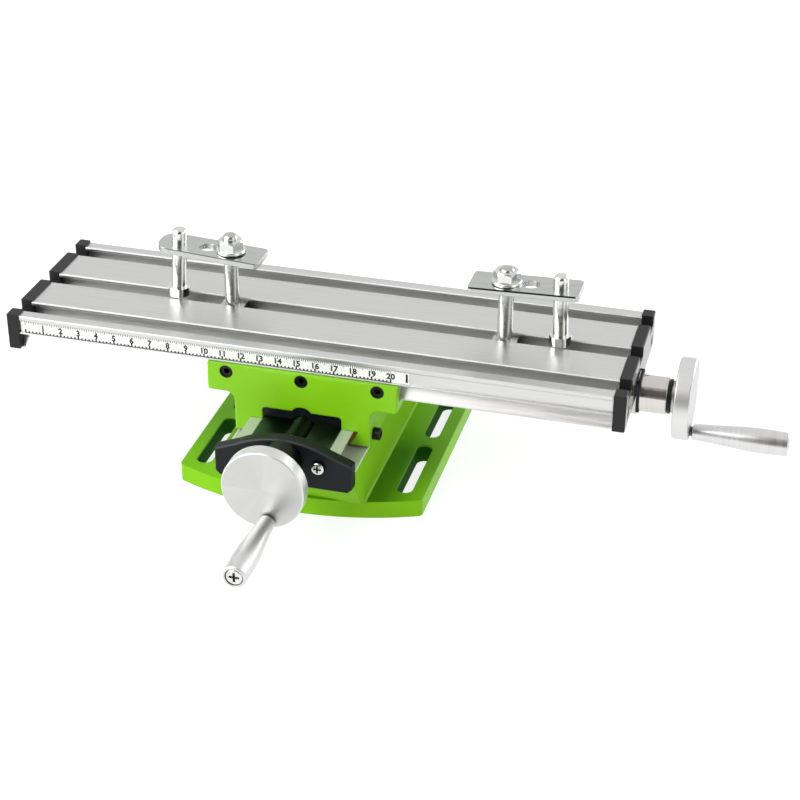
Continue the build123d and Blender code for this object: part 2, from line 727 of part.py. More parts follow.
def make_handle_bolt(angle):
    x, y = handle_spot(angle)
    face = hub_length + wheel_thickness
    seat = face + handle_neck + handle_length - handle_bolt_recess + running_gap
    head = Cylinder(handle_bolt_head_diameter / 2, handle_bolt_head_height,
                    align=(Align.CENTER, Align.CENTER, Align.MIN))
    head = fillet(head.faces().sort_by(Axis.Z)[-1].edges(), 0.8)
    head -= Pos(0, 0, handle_bolt_head_height) * cross_recess(handle_bolt_head_diameter / 2, 1.5)
    return Pos(x, y, seat) * head + rod_z(handle_bolt_diameter / 2, face - handle_bolt_grip + 0.3, seat, x, y)


# Places of the two drives
ring_seat_x = cap_end + flange_plate_thickness + x_sleeve_length + free_gap
wheel_seat_x = ring_seat_x + ring_thickness
x_drive = Pos(table_rest_x, 0, x_axis_z)
ring_seat_y = bracket_front + y_sleeve_length + free_gap
wheel_seat_y = ring_seat_y + ring_thickness


def on_x_axis(x, shape):
    # Shape's +Z along +X, its +X to the back and its +Y up
    return Plane(origin=(table_rest_x + x, 0, x_axis_z), x_dir=(0, 1, 0), z_dir=(1, 0, 0)) * shape


def on_y_axis(y, shape):
    # Shape's +Z along -Y, its +X to the right and its +Y up
    return Plane(origin=(0, -y, y_axis_z), x_dir=(1, 0, 0), z_dir=(0, -1, 0)) * shape


def make_x_lead_screw():
    thread_from = -(cap_end - bearing_block_length) + free_gap
    thread_to = cap_end - bearing_block_length - free_gap
    body = rod_x(screw_diameter / 2, thread_from, thread_to)
    body = chamfer(body.edges().filter_by(GeomType.CIRCLE), 0.8)
    body += rod_x(tail_journal_diameter / 2, -cap_end, thread_from + 1)
    body += rod_x(journal_diameter / 2, thread_to - 1, wheel_seat_x + hub_length + wheel_bore_depth - 0.5)
    return x_drive * body


def make_y_lead_screw():
    thread_from = platform_front - free_gap
    body = rod_y(screw_diameter / 2, -thread_from, platform_back - 4)
    body = chamfer(body.edges().filter_by(GeomType.CIRCLE), 0.8)
    body += rod_y(journal_diameter / 2, -(wheel_seat_y + hub_length + wheel_bore_depth - 0.5), -thread_from + 1)
    return Pos(0, 0, y_axis_z) * body


# One strap clamp; side is -1 when the jack bolt stands to the left of the stud
def strap_frame(stud_x, rise, tilt, side):
    # Strap's own frame: origin under its stud hole on its lower face, +X towards the jack bolt
    angle = radians(tilt)
    along = (side * cos(angle), 0, sin(angle))
    up = (-side * sin(angle), 0, cos(angle))
    return Plane(origin=(table_rest_x + stud_x, 0, table_top + rise), x_dir=along, z_dir=up)


def make_stud(stud_x):
    head_top = table_top - t_slot_lip - slide_gap
    half = t_head_width / 2
    x = table_rest_x + stud_x
    head = block(x - half, x + half, -half, half, head_top - t_head_height, head_top)
    head = chamfer(head.edges().filter_by(Axis.Z), 1.0)
    tip = table_top + stud_height
    shank = rod_z(stud_diameter / 2, head_top - 1, tip, x)
    shank = fillet(shank.faces().sort_by(Axis.Z)[-1].edges(), 2.4)
    return head + shank


def make_strap(frame, jack_arm, jack_corner, far_corner):
    start = jack_arm + strap_jack_margin - strap_length
    body = block(start, start + strap_length, -strap_width / 2, strap_width / 2, 0, strap_thickness)
    upright = body.edges().filter_by(Axis.Z)
    body = fillet([e for e in upright if e.center().X > 0], jack_corner)
    far = [e for e in body.edges().filter_by(Axis.Z)
           if e.center().X < start + 0.1 and abs(e.center().Y) > strap_width / 2 - 0.1]
    body = fillet(far, far_corner)
    body -= Cylinder(strap_hole_diameter / 2, 4 * strap_thickness)
    body -= Pos(jack_arm * strap_hole_share, 0, 0) * Cylinder(strap_hole_diameter / 2, 4 * strap_thickness)
    body -= Pos(jack_arm, 0, 0) * Cylinder(stud_diameter / 2 + running_gap, 4 * strap_thickness)
    return frame * body


def make_jack_bolt(frame, jack_arm, rise, tilt):
    angle = radians(tilt)
    corner = jack_head_width / sqrt(3)
    foot_height = rise + jack_arm * sin(angle) - slide_gap - corner * sin(angle)
    drop = foot_height / cos(angle)
    head = hex_bar(jack_head_width, jack_head_height)
    head &= Cylinder(corner - 0.5, jack_head_height * 3)
    shank = Cylinder(stud_diameter / 2, jack_head_height + jack_shank_length,
                     align=(Align.CENTER, Align.CENTER, Align.MIN))
    shank = fillet(shank.faces().sort_by(Axis.Z)[-1].edges(), 2.4)
    return frame * (Pos(jack_arm, 0, -drop) * (head + shank))


def make_clamp_nut(stud_x, rise, tilt):
    lift = nut_flange_diameter / 2 * sin(radians(tilt))
    seat = table_top + rise + strap_thickness / cos(radians(tilt)) + lift + slide_gap
    flange = Cylinder(nut_flange_diameter / 2, nut_flange_height, align=(Align.CENTER, Align.CENTER, Align.MIN))
    flange = fillet(flange.faces().sort_by(Axis.Z)[-1].edges(), nut_flange_height * 0.6)
    crown = hex_bar(nut_width, nut_height)
    dome = Cylinder(nut_width / sqrt(3), nut_height, align=(Align.CENTER, Align.CENTER, Align.MIN))
    crown &= chamfer(dome.faces().sort_by(Axis.Z)[-1].edges(), 1.4)
    body = flange + crown - Cylinder(stud_diameter / 2 + running_gap, 4 * nut_height)
    return Pos(table_rest_x + stud_x, 0, seat) * body


def group(shapes):
    return Compound(children=[s if isinstance(s, Solid) else s.solids()[0] for s in shapes])


def make_clamp(name, stud_x, rise, tilt, side, jack_arm, jack_corner, far_corner):
    frame = strap_frame(stud_x, rise, tilt, side)
    return {
        name + "_t_bolt": make_stud(stud_x),
        name + "_clamp_nut": make_clamp_nut(stud_x, rise, tilt),
        name + "_strap": make_strap(frame, jack_arm, jack_corner, far_corner),
        name + "_jack_bolt": make_jack_bolt(frame, jack_arm, rise, tilt),
    }


def make_parts():
    at_table = Pos(table_rest_x, 0, 0)
    y_places = (-cap_screw_offset, cap_screw_offset)
    parts = {
        "base_casting": make_base(),
        "y_bearing_bracket": make_bracket(),
        "bracket_screws": group([make_bracket_screw(s * bracket_screw_offset) for s in (-1, 1)]),
        "y_bearing_sleeve": on_y_axis(bracket_front, make_sleeve(y_sleeve_diameter, y_sleeve_length,
                                                                 bracket_thickness / 2)),
        "y_lead_screw": make_y_lead_screw(),
        "y_dial_ring": on_y_axis(ring_seat_y, make_ring()),
        "y_handwheel": on_y_axis(wheel_seat_y, make_wheel(y_handle_angle, -1)),
        "y_grub_screw": on_y_axis(wheel_seat_y, make_grub_screw(-1)),
        "y_crank_handle": on_y_axis(wheel_seat_y, make_handle(y_handle_angle)),
        "y_handle_bolt": on_y_axis(wheel_seat_y, make_handle_bolt(y_handle_angle)),
        "saddle_casting": make_saddle(),
        "x_gib": make_x_gib(),
        "x_gib_screws": group([make_x_gib_screw(k * x_gib_screw_spacing) for k in (-1, 0, 1)]),
        "y_gib": make_y_gib(),
        "y_gib_screws": group([make_y_gib_screw(k * y_gib_screw_spacing) for k in (-1, 0, 1)]),
        "dust_guard": make_dust_guard(),
        "y_nut_block": make_y_nut(),
        "y_nut_screws": group([make_y_nut_screw(x, y) for x, y in y_nut_screw_places()]),
        "x_nut_block": make_x_nut(),
        "x_nut_screws": group([make_x_nut_screw(x, y) for x, y in x_nut_screw_places()]),
        "table_extrusion": at_table * make_table(),
        "rule_strip": at_table * make_rule(),
        "left_end_cap": at_table * make_end_cap(-1),
        "right_end_cap": at_table * make_end_cap(1),
        "end_cap_screws": group([at_table * make_cap_screw(s, y) for s in (-1, 1) for y in y_places]),
        "left_bearing_block": at_table * make_bearing_block(-1),
        "right_bearing_block": at_table * make_bearing_block(1),
        "bearing_block_screws": group([at_table * make_block_screw(s, y) for s in (-1, 1)
                                       for y in (-block_screw_offset, block_screw_offset)]),
        "x_flange_plate": at_table * make_flange_plate(),
        "x_bearing_sleeve": on_x_axis(cap_end + flange_plate_thickness,
                                      make_sleeve(x_sleeve_diameter, x_sleeve_length, sleeve_spigot_length)),
        "x_lead_screw": make_x_lead_screw(),
        "x_dial_ring": on_x_axis(ring_seat_x, make_ring()),
        "x_handwheel": on_x_axis(wheel_seat_x, make_wheel(-x_handle_angle, 1)),
        "x_grub_screw": on_x_axis(wheel_seat_x, make_grub_screw(1)),
        "x_crank_handle": on_x_axis(wheel_seat_x, make_handle(-x_handle_angle)),
        "x_handle_bolt": on_x_axis(wheel_seat_x, make_handle_bolt(-x_handle_angle)),
    }
    parts.update(make_clamp("left", left_stud_x, left_strap_rise, left_strap_tilt, -1, left_jack_arm, 8.0, 2.5))
    parts.update(make_clamp("right", right_stud_x, right_strap_rise, right_strap_tilt, 1, right_jack_arm, 3.0, 2.0))
    return parts


os.makedirs("parts", exist_ok=True)
for name, shape in make_parts().items():
    export_step(shape, "parts/" + name + ".step")
    print(name, len(shape.solids()), "solid(s)", round(shape.volume, 1), "mm3")
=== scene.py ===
from math import cos, radians, sin, tau

import bmesh
import bpy
from mathutils import Matrix, Vector


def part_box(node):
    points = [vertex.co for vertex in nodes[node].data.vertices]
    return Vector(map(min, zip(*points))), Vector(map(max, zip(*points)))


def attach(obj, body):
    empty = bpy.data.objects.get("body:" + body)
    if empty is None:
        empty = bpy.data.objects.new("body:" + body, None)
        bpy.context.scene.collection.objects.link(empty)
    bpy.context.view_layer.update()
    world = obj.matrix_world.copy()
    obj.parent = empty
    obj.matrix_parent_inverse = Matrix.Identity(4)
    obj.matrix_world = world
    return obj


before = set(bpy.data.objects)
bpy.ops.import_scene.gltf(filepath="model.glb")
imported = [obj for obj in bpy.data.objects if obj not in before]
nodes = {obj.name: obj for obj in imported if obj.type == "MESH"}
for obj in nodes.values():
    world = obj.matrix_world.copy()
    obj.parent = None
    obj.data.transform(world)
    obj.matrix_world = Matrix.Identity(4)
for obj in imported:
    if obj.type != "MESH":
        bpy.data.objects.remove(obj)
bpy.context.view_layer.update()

mm = 0.001
print("frame loaded:", len(nodes), "nodes")

# How the picture is taken. The camera's place was worked out from the edges of the table.
cameraSettings = {
    "place": (263.16 * mm, -845.84 * mm, 533.32 * mm),
    "target": (38.88 * mm, 0.0, 33.34 * mm),
    "roll": 0.44,
    "lens": 84.44,
    "sensor": 36.0,
    "far": 20.0,
}


def placeCamera(s):
    place = Vector(s["place"])
    forward = (Vector(s["target"]) - place).normalized()
    right = forward.cross(Vector((0, 0, 1))).normalized()
    up = right.cross(forward)
    roll = radians(s["roll"])
    right, up = cos(roll) * right + sin(roll) * up, cos(roll) * up - sin(roll) * right
    data = bpy.data.cameras.new("camera")
    data.lens = s["lens"]
    data.sensor_width = s["sensor"]
    data.clip_end = s["far"]
    camera = bpy.data.objects.new("camera", data)
    camera.matrix_world = Matrix.Translation(place) @ Matrix((right, up, -forward)).transposed().to_4x4()
    bpy.context.scene.collection.objects.link(camera)
    bpy.context.scene.camera = camera


placeCamera(cameraSettings)


# Small helpers for shader nodes. A value is a number or the output of another node.
def mathNode(tree, operation, *values):
    node = tree.nodes.new("ShaderNodeMath")
    node.operation = operation
    for socket, value in zip(node.inputs, values):
        if isinstance(value, (int, float)):
            socket.default_value = value
        else:
            tree.links.new(value, socket)
    return node.outputs[0]


def coordinates(tree, kind="Object"):
    where = tree.nodes.new("ShaderNodeTexCoord")
    split = tree.nodes.new("ShaderNodeSeparateXYZ")
    tree.links.new(where.outputs[kind], split.inputs[0])
    return split.outputs


def rampNode(tree, source, stops):
    ramp = tree.nodes.new("ShaderNodeValToRGB")
    tree.links.new(source, ramp.inputs[0])
    elements = ramp.color_ramp.elements
    elements[0].position, elements[0].color = stops[0][0], tuple(stops[0][1]) + (1,)
    elements[1].position, elements[1].color = stops[-1][0], tuple(stops[-1][1]) + (1,)
    for position, color in stops[1:-1]:
        elements.new(position).color = tuple(color) + (1,)
    return ramp.outputs[0]


def rangeNode(tree, source, start, end, low, high):
    spread = tree.nodes.new("ShaderNodeMapRange")
    spread.inputs["From Min"].default_value = start
    spread.inputs["From Max"].default_value = end
    spread.inputs["To Min"].default_value = low
    spread.inputs["To Max"].default_value = high
    tree.links.new(source, spread.inputs["Value"])
    return spread.outputs[0]


# A mix node's two inputs and its output, which have other numbers for a colour than for a number
mixSockets = {"RGBA": (6, 7, 2), "FLOAT": (2, 3, 0)}


def overlay(tree, shader, name, mask, value):
    # The socket keeps what it had where the mask is 0, and gets the value where it is 1
    socket = shader.inputs[name]
    mix = tree.nodes.new("ShaderNodeMix")
    colored = name == "Base Color"
    mix.data_type = "RGBA" if colored else "FLOAT"
    low, high, out = mixSockets[mix.data_type]
    if socket.is_linked:
        tree.links.new(socket.links[0].from_socket, mix.inputs[low])
    else:
        mix.inputs[low].default_value = socket.default_value
    mix.inputs[high].default_value = tuple(value) + (1,) if colored else value
    tree.links.new(mask, mix.inputs[0])
    tree.links.new(mix.outputs[out], socket)


def allNode(tree, *masks):
    # Where all the masks are 1
    joined = masks[0]
    for mask in masks[1:]:
        joined = mathNode(tree, "MULTIPLY", joined, mask)
    return joined


def absoluteNode(tree, value):
    return mathNode(tree, "ABSOLUTE", value)


# Soft studio: a pale room that is dark behind the camera, a large soft box to the left and two low fills
studioSettings = {
    "horizon": 0.72,
    "low sky": 0.9,
    "low sky at": 0.45,
    "overhead": 0.86,
    "dark side": (0.13, 0.115, 0.105),
    "dark toward": (0.25, -0.8, 0.5),
    "dark full": 28,
    "dark gone": 44,
    "floor": (0.26, 0.26, 0.26),
    "floor glow": 0.82,
    "floor size": 7.0,
    "floor drop": 0.1 * mm,
    "floor roughness": 0.9,
    "floor gloss": 0.1,
    "lit point": (0.05, 0, 0.05),
    # Each box has a name, a place, a size and a power
    "boxes": [
        ("key_box", (-1.25, -0.95, 1.05), 2.2, 50.0),
        ("right_fill", (1.4, -0.6, 0.7), 0.9, 3.0),
        ("rear_fill", (0.75, 0.8, 0.3), 0.7, 5.0),
    ],
}


def buildStudio(s):
    scene = bpy.context.scene
    scene.view_settings.view_transform = "Standard"
    world = bpy.data.worlds.new("studio")
    world.use_nodes = True
    scene.world = world
    tree = world.node_tree
    height = coordinates(tree, "Generated")["Z"]
    sky = rampNode(tree, height, [(0.0, (s["horizon"],) * 3), (s["low sky at"], (s["low sky"],) * 3),
                                  (1.0, (s["overhead"],) * 3)])
    where = tree.nodes.new("ShaderNodeTexCoord")
    toward = tree.nodes.new("ShaderNodeVectorMath")
    toward.operation = "DOT_PRODUCT"
    toward.inputs[1].default_value = Vector(s["dark toward"]).normalized()
    tree.links.new(where.outputs["Generated"], toward.inputs[0])
    gone, full = (cos(radians(s[name])) for name in ("dark gone", "dark full"))
    shade = rangeNode(tree, toward.outputs["Value"], gone, full, 0, 1)
    mix = tree.nodes.new("ShaderNodeMix")
    mix.data_type = "RGBA"
    low, high, out = mixSockets["RGBA"]
    mix.inputs[high].default_value = s["dark side"] + (1,)
    tree.links.new(shade, mix.inputs[0])
    tree.links.new(sky, mix.inputs[low])
    tree.links.new(mix.outputs[out], tree.nodes["Background"].inputs["Color"])
    half = s["floor size"] / 2
    mesh = bpy.data.meshes.new("floor")
    corners = [(-half, -half, 0), (half, -half, 0), (half, half, 0), (-half, half, 0)]
    mesh.from_pydata(corners, [], [(0, 1, 2, 3)])
    floor = bpy.data.objects.new("floor", mesh)
    floor.location.z = -s["floor drop"]
    scene.collection.objects.link(floor)
    paper = bpy.data.materials.new("floor_paper")
    paper.use_nodes = True
    shader = paper.node_tree.nodes["Principled BSDF"]
    shader.inputs["Base Color"].default_value = s["floor"] + (1,)
    shader.inputs["Roughness"].default_value = s["floor roughness"]
    shader.inputs["Specular IOR Level"].default_value = s["floor gloss"]
    shader.inputs["Emission Color"].default_value = (1, 1, 1, 1)
    shader.inputs["Emission Strength"].default_value = s["floor glow"]
    mesh.materials.append(paper)
    for name, place, size, power in s["boxes"]:
        data = bpy.data.lights.new(name, "AREA")
        data.size = size
        data.energy = power
        lamp = bpy.data.objects.new(name, data)
        lamp.location = place
        lamp.rotation_euler = (Vector(s["lit point"]) - Vector(place)).to_track_quat("-Z", "Y").to_euler()
        scene.collection.objects.link(lamp)


buildStudio(studioSettings)
print("studio ready")


# Finishes: one shader each, with grain, tone and bump from noise in the piece's own coordinates
noiseSpan = (0.3, 0.7)
bevelSamples = 4


def startMaterial(name, color, roughness, metallic=0.0):
    material = bpy.data.materials.new(name)
    material.use_nodes = True
    shader = material.node_tree.nodes["Principled BSDF"]
    shader.inputs["Base Color"].default_value = tuple(color) + (1,)
    shader.inputs["Roughness"].default_value = roughness
    shader.inputs["Metallic"].default_value = metallic
    return material, material.node_tree, shader


def noiseNode(tree, scale, stretch=(1, 1, 1), detail=3.0):
    where = tree.nodes.new("ShaderNodeTexCoord")
    mapping = tree.nodes.new("ShaderNodeMapping")
    mapping.inputs["Scale"].default_value = stretch
    noise = tree.nodes.new("ShaderNodeTexNoise")
    noise.inputs["Scale"].default_value = scale
    noise.inputs["Detail"].default_value = detail
    tree.links.new(where.outputs["Object"], mapping.inputs["Vector"])
    tree.links.new(mapping.outputs[0], noise.inputs["Vector"])
    return noise.outputs["Fac"]


def varyTone(tree, source, shader, color, tone):
    dark = [c * (1 - tone) for c in color]
    light = [min(1.0, c * (1 + tone)) for c in color]
    tree.links.new(rampNode(tree, source, list(zip(noiseSpan, (dark, light)))), shader.inputs["Base Color"])


def varyRoughness(tree, source, shader, roughness, spread):
    span = rangeNode(tree, source, *noiseSpan, roughness - spread, roughness + spread)
    tree.links.new(span, shader.inputs["Roughness"])


def addBump(tree, source, shader, depth, edge):
    bump = tree.nodes.new("ShaderNodeBump")
    bump.inputs["Distance"].default_value = depth
    bump.inputs["Strength"].default_value = 1.0
    tree.links.new(source, bump.inputs["Height"])
    tree.links.new(bump.outputs[0], shader.inputs["Normal"])
    bevel = tree.nodes.new("ShaderNodeBevel")
    bevel.samples = bevelSamples
    bevel.inputs["Radius"].default_value = edge
    tree.links.new(bevel.outputs[0], bump.inputs["Normal"])


# What a metal or a plastic has unless its own settings say otherwise
metalUsual = {"tone": 0.06, "spread": 0.06, "detail": 4.0, "depth": 0.004 * mm, "edge": 0.3 * mm}
plasticUsual = {"grain": 1500.0, "tone": 0.12, "spread": 0.05, "detail": 2.0, "depth": 0.008 * mm,
                "edge": 0.4 * mm, "gloss": 0.3}


def buildMetal(name, settings):
    # The grain is stretched along the way the tool ran
    s = dict(metalUsual, **settings)
    material, tree, shader = startMaterial(name, s["color"], s["roughness"], 1.0)
    lines = noiseNode(tree, s["grain"], s["run"], s["detail"])
    varyTone(tree, lines, shader, s["color"], s["tone"])
    varyRoughness(tree, lines, shader, s["roughness"], s["spread"])
    addBump(tree, lines, shader, s["depth"], s["edge"])
    return material


def buildPlastic(name, settings):
    s = dict(plasticUsual, **settings)
    material, tree, shader = startMaterial(name, s["color"], s["roughness"])
    speckle = noiseNode(tree, s["grain"], detail=s["detail"])
    varyTone(tree, speckle, shader, s["color"], s["tone"])
    varyRoughness(tree, speckle, shader, s["roughness"], s["spread"])
    addBump(tree, speckle, shader, s["depth"], s["edge"])
    shader.inputs["Specular IOR Level"].default_value = s["gloss"]
    return material


def addThread(material, s):
    # A screw thread as a bump that runs along one axis
    tree = material.node_tree
    shader = tree.nodes["Principled BSDF"]
    along = coordinates(tree)[s["axis"]]
    around = mathNode(tree, "MULTIPLY", along, tau / s["pitch"])
    wave = mathNode(tree, "SINE", around)
    bump = tree.nodes.new("ShaderNodeBump")
    bump.inputs["Distance"].default_value = s["depth"]
    tree.links.new(wave, bump.inputs["Height"])
    tree.links.new(shader.inputs["Normal"].links[0].from_socket, bump.inputs["Normal"])
    tree.links.new(bump.outputs[0], shader.inputs["Normal"])
    return material


alongX = (0.02, 1, 1)
alongY = (1, 0.02, 1)
aroundX = (1, 0.03, 0.03)
aroundY = (0.03, 1, 0.03)
evenly = (1, 1, 1)

# Lime green enamel on both castings, worn to bare milled metal on the slideways
paintSettings = {
    "color": (0.215, 0.54, 0.008),
    "tone": 0.09,
    "roughness": 0.36,
    "spread": 0.06,
    "gloss": 0.24,
    "patches": 26.0,
    "peel": 900.0,
    "peel detail": 2.0,
    "peel depth": 0.012 * mm,
    "edge": 1.1 * mm,
    "coat": 0.05,
    "coat roughness": 0.12,
    "milled": (0.58, 0.6, 0.53),
    "milled roughness": 0.42,
    "milled shine": 0.5,
    # Painted shade for shaded recesses, darker and rougher
    "shaded": (0.012, 0.026, 0.008),
    "shaded roughness": 0.8,
    "shaded shine": 0.3,
}


def buildPaint(name, s, milledArea, shadedArea):
    material, tree, shader = startMaterial(name, s["color"], s["roughness"])
    patches = noiseNode(tree, s["patches"])
    varyTone(tree, patches, shader, s["color"], s["tone"])
    varyRoughness(tree, patches, shader, s["roughness"], s["spread"])
    peel = noiseNode(tree, s["peel"], detail=s["peel detail"])
    addBump(tree, peel, shader, s["peel depth"], s["edge"])
    shader.inputs["Specular IOR Level"].default_value = s["gloss"]
    shader.inputs["Coat Weight"].default_value = s["coat"]
    shader.inputs["Coat Roughness"].default_value = s["coat roughness"]
    # Painted shade: darker colour where the mask of shaded recesses is 1
    shadedMask = shadedArea(tree)
    overlay(tree, shader, "Base Color", shadedMask, s["shaded"])
    overlay(tree, shader, "Roughness", shadedMask, s["shaded roughness"])
    overlay(tree, shader, "Metallic", shadedMask, s["shaded shine"])
    bare = milledArea(tree)
    overlay(tree, shader, "Base Color", bare, s["milled"])
    overlay(tree, shader, "Metallic", bare, s["milled shine"])
    overlay(tree, shader, "Roughness", bare, s["milled roughness"])
    return material


# A face counts as facing an axis when its normal's part along that axis is over this
steep = 0.5

# The base is bare on its platform and dovetail way, outside the channel for the screw. The channel and the
# walls of the bolt slots get a painted shade.
baseWays = {
    "platform": 31.4 * mm,
    "channel half width": 21.5 * mm,
    "channel floor": 26.5 * mm,
    "slot top": 9.3 * mm,
    "slots from": 50.3 * mm,
    "slots to": 59.7 * mm,
    "slots within": 54.0 * mm,
    "painted edge highlight from": 34.7 * mm,
    "fold": 38.4 * mm,
    "fold width": 0.65 * mm,
    "flange top": 10.0 * mm,
    "flange reach": 0.3 * mm,
    "painted shade from": 47.0 * mm,
    "painted shade to": 72.0 * mm,
    "painted shade weight": 0.8,
    "painted shade front": -14.0 * mm,
    "painted shade back": 14.0 * mm,
}


def baseMilled(tree):
    place = coordinates(tree)
    high = mathNode(tree, "GREATER_THAN", place["Z"], baseWays["platform"])
    outside = mathNode(tree, "GREATER_THAN", absoluteNode(tree, place["X"]), baseWays["channel half width"])
    return allNode(tree, high, outside)


def baseChannel(tree):
    place = coordinates(tree)
    high = mathNode(tree, "GREATER_THAN", place["Z"], baseWays["channel floor"])
    inside = mathNode(tree, "LESS_THAN", absoluteNode(tree, place["X"]), baseWays["channel half width"])
    return allNode(tree, high, inside)


def baseShaded(tree):
    # Painted shade on the walls of the bolt slots and in the channel
    place = coordinates(tree)
    across = absoluteNode(tree, place["X"])
    low = mathNode(tree, "LESS_THAN", place["Z"], baseWays["slot top"])
    beyond = mathNode(tree, "GREATER_THAN", across, baseWays["slots from"])
    before = mathNode(tree, "LESS_THAN", across, baseWays["slots to"])
    within = mathNode(tree, "LESS_THAN", absoluteNode(tree, place["Y"]), baseWays["slots within"])
    wall = mathNode(tree, "LESS_THAN", absoluteNode(tree, coordinates(tree, "Normal")["Z"]), steep)
    slots = allNode(tree, low, beyond, before, wall, within)
    return mathNode(tree, "MAXIMUM", baseChannel(tree), slots)


def markBaseEdges(material, s):
    # A painted highlight along the platform's milled edge, a pale painted highlight line where the platform
    # meets the flange, painted shade beside it on the side of the X handwheel, and painted shade in the
    # channel
    tree = material.node_tree
    shader = tree.nodes["Principled BSDF"]
    place = coordinates(tree)
    across = absoluteNode(tree, place["X"])
    # Painted highlight along the platform's milled top edge
    high = mathNode(tree, "GREATER_THAN", place["Z"], baseWays["platform"])
    outer = mathNode(tree, "GREATER_THAN", across, baseWays["painted edge highlight from"])
    overlay(tree, shader, "Base Color", allNode(tree, high, outer), s["painted edge highlight"])
    fold = mathNode(tree, "COMPARE", across, baseWays["fold"], baseWays["fold width"])
    flat = mathNode(tree, "COMPARE", place["Z"], baseWays["flange top"], baseWays["flange reach"])
    # Painted shade on the flange beside the platform, fading towards the back
    near = rangeNode(tree, place["X"], baseWays["painted shade from"], baseWays["painted shade to"], baseWays["painted shade weight"], 0)
    beside = mathNode(tree, "GREATER_THAN", place["X"], baseWays["fold"])
    fading = rangeNode(tree, place["Y"], baseWays["painted shade front"], baseWays["painted shade back"], 1, 0)
    overlay(tree, shader, "Base Color", allNode(tree, near, beside, fading, flat), s["painted shade"])
    # Painted highlight line where the platform meets the flange
    overlay(tree, shader, "Base Color", allNode(tree, fold, flat), s["painted fold highlight"])
    # Painted shade in the channel
    overlay(tree, shader, "Base Color", baseChannel(tree), s["painted channel shade"])


# The saddle is bare on its deck and the dovetail that the table slides in, and under its legs
saddleWays = {
    "deck": 60.4 * mm,
    "wall": 46.4 * mm,
    "sole": 41.3 * mm,
    "front": -48.5 * mm,
    "screw pitch": 40.4 * mm,
    "screw height": 65.9 * mm,
    "screw recess": 3.55 * mm,
}


def saddleMilled(tree):
    place = coordinates(tree)
    up = mathNode(tree, "GREATER_THAN", place["Z"], saddleWays["deck"])
    within = mathNode(tree, "LESS_THAN", absoluteNode(tree, place["Y"]), saddleWays["wall"])
    low = mathNode(tree, "LESS_THAN", place["Z"], saddleWays["sole"])
    down = mathNode(tree, "LESS_THAN", coordinates(tree, "Normal")["Z"], -steep)
    return mathNode(tree, "MAXIMUM", allNode(tree, up, within), allNode(tree, low, down))


def saddleShaded(tree):
    # Painted shade in the countersinks of the three gib screws
    place = coordinates(tree)
    front = mathNode(tree, "LESS_THAN", place["Y"], saddleWays["front"])
    out = absoluteNode(tree, place["X"])
    beside = absoluteNode(tree, mathNode(tree, "SUBTRACT", out, saddleWays["screw pitch"]))
    across = mathNode(tree, "MINIMUM", out, beside)
    up = mathNode(tree, "SUBTRACT", place["Z"], saddleWays["screw height"])
    squares = [mathNode(tree, "MULTIPLY", way, way) for way in (across, up)]
    away = mathNode(tree, "SQRT", mathNode(tree, "ADD", *squares))
    return allNode(tree, front, mathNode(tree, "LESS_THAN", away, saddleWays["screw recess"]))


# The base's enamel is a little duller and deeper than the saddle's
basePaintSettings = {
    **paintSettings,
    "color": (0.188, 0.475, 0.006),
    "gloss": 0.1,
    "coat": 0.0,
    "shaded": (0.014, 0.11, 0.003),
    "shaded shine": 0.0,
    "painted channel shade": (0.1, 0.21, 0.08),
    "painted edge highlight": (0.86, 0.88, 0.8),
    "painted fold highlight": (0.42, 0.76, 0.1),
    "painted shade": (0.035, 0.16, 0.002),
}
basePaint = buildPaint("green_enamel_base", basePaintSettings, baseMilled, baseShaded)
saddlePaint = buildPaint("green_enamel_saddle", paintSettings, saddleMilled, saddleShaded)
markBaseEdges(basePaint, basePaintSettings)

# Drawn aluminium, with painted shade inside the T-slots, matt and with a painted highlight on the slots'
# lips, and lighter by painted light on the lower outer faces
tableSettings = {
    "color": (0.67, 0.67, 0.665),
    "roughness": 0.34,
    "grain": 1400.0,
    "run": alongX,
    "edge": 1.2 * mm,
    "painted slot shade": (0.66, 0.66, 0.655),
    "slot floor": 69.0 * mm,
    "slot roof": 77.9 * mm,
    "slots within": 46.0 * mm,
    "painted skirt light": (0.86, 0.86, 0.855),
    "skirt top": 69.7 * mm,
    "skirt from": 40.0 * mm,
    "lip from": 79.2 * mm,
    "painted lip highlight": (0.97, 0.97, 0.965),
    "lip roughness": 0.75,
}


def buildTableMetal(s):
    material = buildMetal("drawn_aluminium", s)
    tree = material.node_tree
    place = coordinates(tree)
    # Painted shade inside the T-slots
    below = mathNode(tree, "LESS_THAN", place["Z"], s["slot roof"])
    above = mathNode(tree, "GREATER_THAN", place["Z"], s["slot floor"])
    across = absoluteNode(tree, place["Y"])
    within = mathNode(tree, "LESS_THAN", across, s["slots within"])
    shader = tree.nodes["Principled BSDF"]
    overlay(tree, shader, "Base Color", allNode(tree, below, above, within), s["painted slot shade"])
    # Painted light: a lighter tone on the lower outer faces
    low = mathNode(tree, "LESS_THAN", place["Z"], s["skirt top"])
    outer = mathNode(tree, "GREATER_THAN", across, s["skirt from"])
    overlay(tree, shader, "Base Color", allNode(tree, low, outer), s["painted skirt light"])
    # Painted highlight on the upper part of the slots' upright walls
    high = mathNode(tree, "GREATER_THAN", place["Z"], s["lip from"])
    upright = mathNode(tree, "GREATER_THAN", absoluteNode(tree, coordinates(tree, "Normal")["Y"]), steep)
    lip = allNode(tree, high, upright, within)
    overlay(tree, shader, "Base Color", lip, s["painted lip highlight"])
    overlay(tree, shader, "Roughness", lip, s["lip roughness"])
    return material


tableMetal = buildTableMetal(tableSettings)

